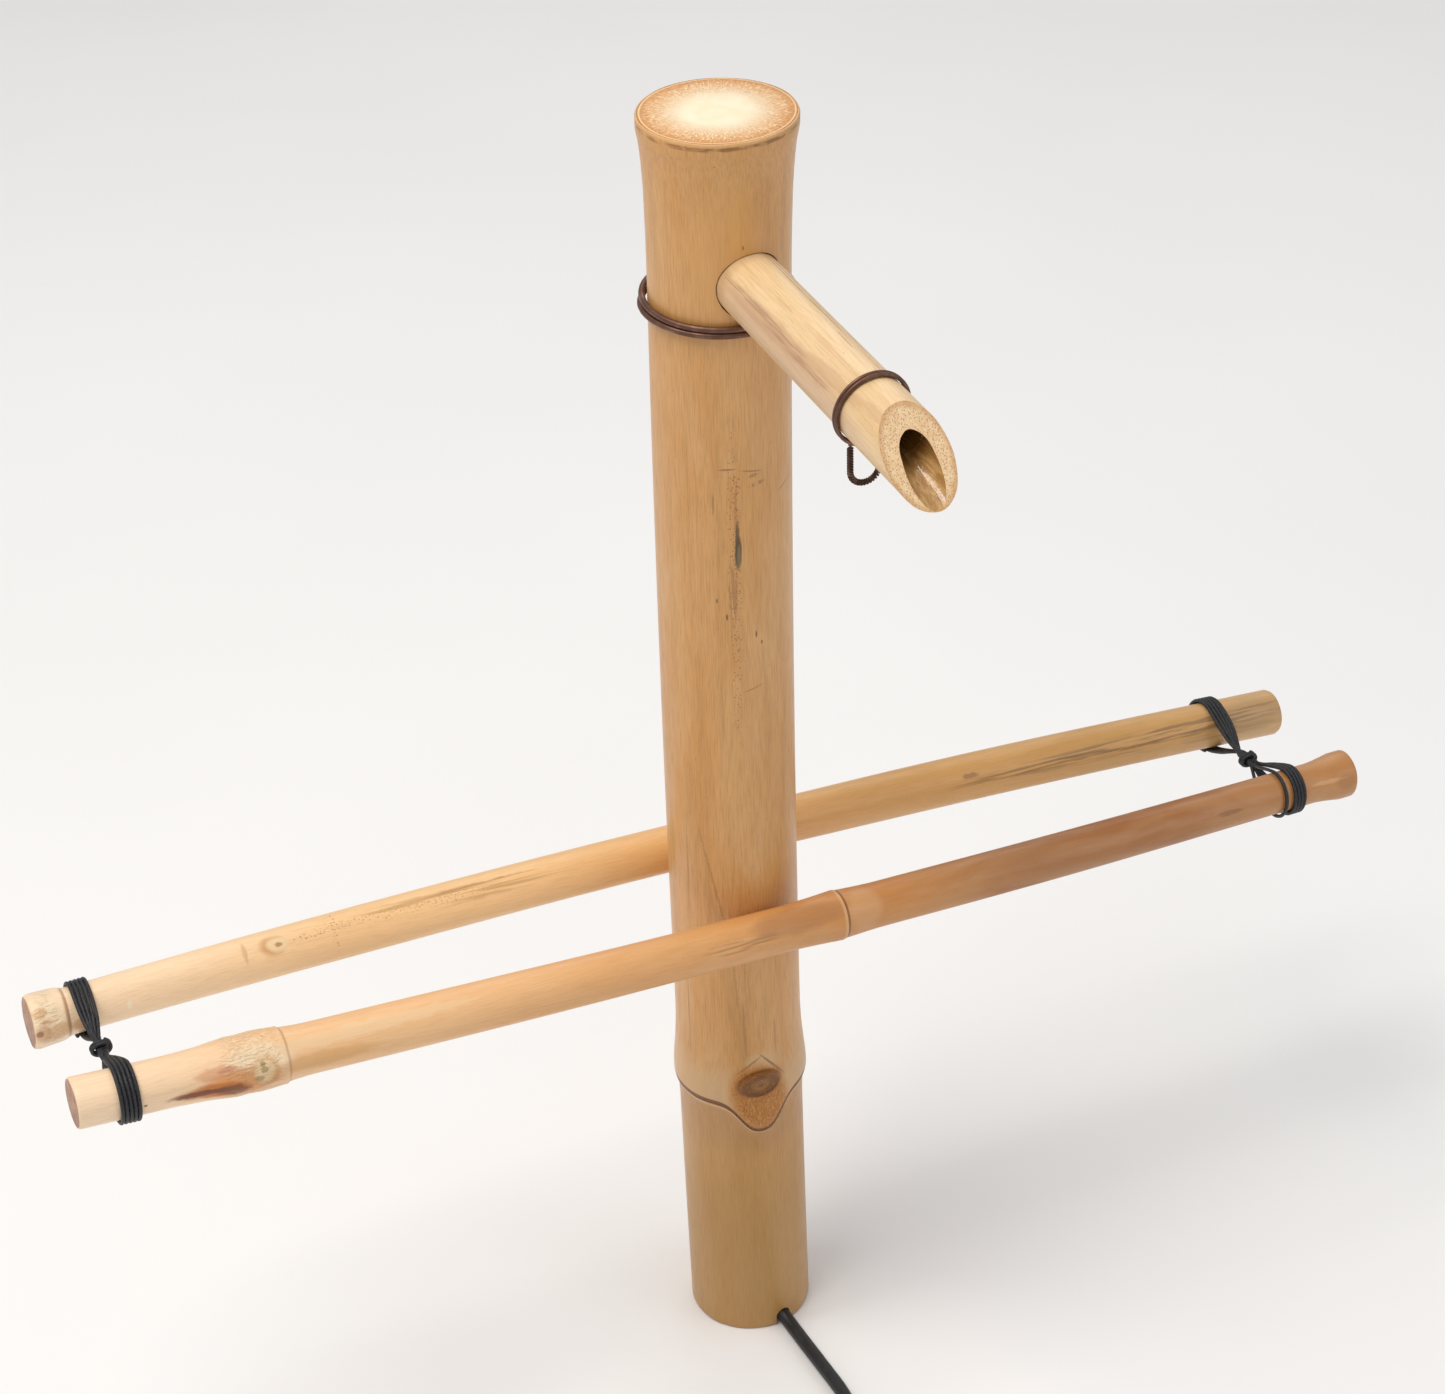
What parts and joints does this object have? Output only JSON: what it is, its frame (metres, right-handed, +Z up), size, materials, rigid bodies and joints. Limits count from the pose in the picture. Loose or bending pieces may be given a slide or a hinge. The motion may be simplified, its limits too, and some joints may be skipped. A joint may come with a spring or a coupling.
{
  "type": "bamboo water spout",
  "caption": "Upright bamboo post with an oblique-cut spout near its top, two lashed bamboo arms that rest on a tub's rim, and a small pump with riser tube and cord in its hollow foot",
  "frame": {"origin": "the middle of the standing object's outline, on the surface that the post stands on; the middle of the post's foot is at (0.0062, 0.0023, 0)", "axes": "+Z up along the post, +X to the viewer's right, -Y towards the viewer; the spout points to the front right"},
  "size_m": [0.5867, 0.3968, 0.61],
  "materials": {
    "honey_bamboo": "smooth honey-coloured bamboo skin with a satin sheen",
    "straw_bamboo": "paler straw-coloured bamboo with a satin sheen",
    "arm_bamboo": "straw to honey bamboo cane with a satin sheen",
    "dark_copper": "dark, weathered copper wire",
    "waxed_cord": "black waxed lashing cord",
    "black_rubber": "matte black rubber",
    "black_plastic": "moulded black plastic",
    "grey_plastic": "moulded grey plastic",
    "clear_vinyl": "clear flexible vinyl tube",
    "steel_shaft": "ground steel",
    "brass_blades": "plain brass"
  },
  "bodies": {
    "post_and_pump": {"bamboo_post": "honey_bamboo", "spout": "straw_bamboo", "post_wire": "dark_copper", "spout_wire": "dark_copper", "spout_wire_eye": "dark_copper", "riser_tube": "clear_vinyl", "pump_body": "black_plastic", "pump_volute": "black_plastic", "pump_seal": "black_rubber", "rotor_shaft": "steel_shaft", "shaft_bush_front": "black_rubber", "shaft_bush_rear": "black_rubber", "inlet_cover": "black_plastic", "outlet_nozzle": "black_plastic", "suction_foot_1": "black_rubber", "suction_foot_2": "black_rubber", "suction_foot_3": "black_rubber", "suction_foot_4": "black_rubber", "cord_gland": "black_rubber", "power_cord": "black_rubber", "cord_coil": "black_rubber", "plug": "black_rubber", "plug_blade_left": "brass_blades", "plug_blade_right": "brass_blades", "plug_ground_pin": "brass_blades"},
    "arms": {"front_arm": "arm_bamboo", "rear_arm": "arm_bamboo", "lashing_left": "waxed_cord", "lashing_right": "waxed_cord"},
    "impeller": {"impeller": "grey_plastic"},
    "flow_dial": {"flow_dial": "grey_plastic"}
  },
  "joints": [
    {"name": "arms_slide", "type": "slide", "parent": "post_and_pump", "child": "arms", "axis": [0, 0, 1], "range_m": [-0.045, 0.265]},
    {"name": "impeller_spin", "type": "hinge", "parent": "post_and_pump", "child": "impeller", "pos_m": [0.0062, 0.0023, 0.019], "axis": [0.5446, -0.8387, 0], "continuous": true},
    {"name": "flow_dial_turn", "type": "hinge", "parent": "post_and_pump", "child": "flow_dial", "pos_m": [0.0062, 0.0023, 0.019], "axis": [0.5446, -0.8387, 0], "range_deg": [0, 70]}
  ]
}
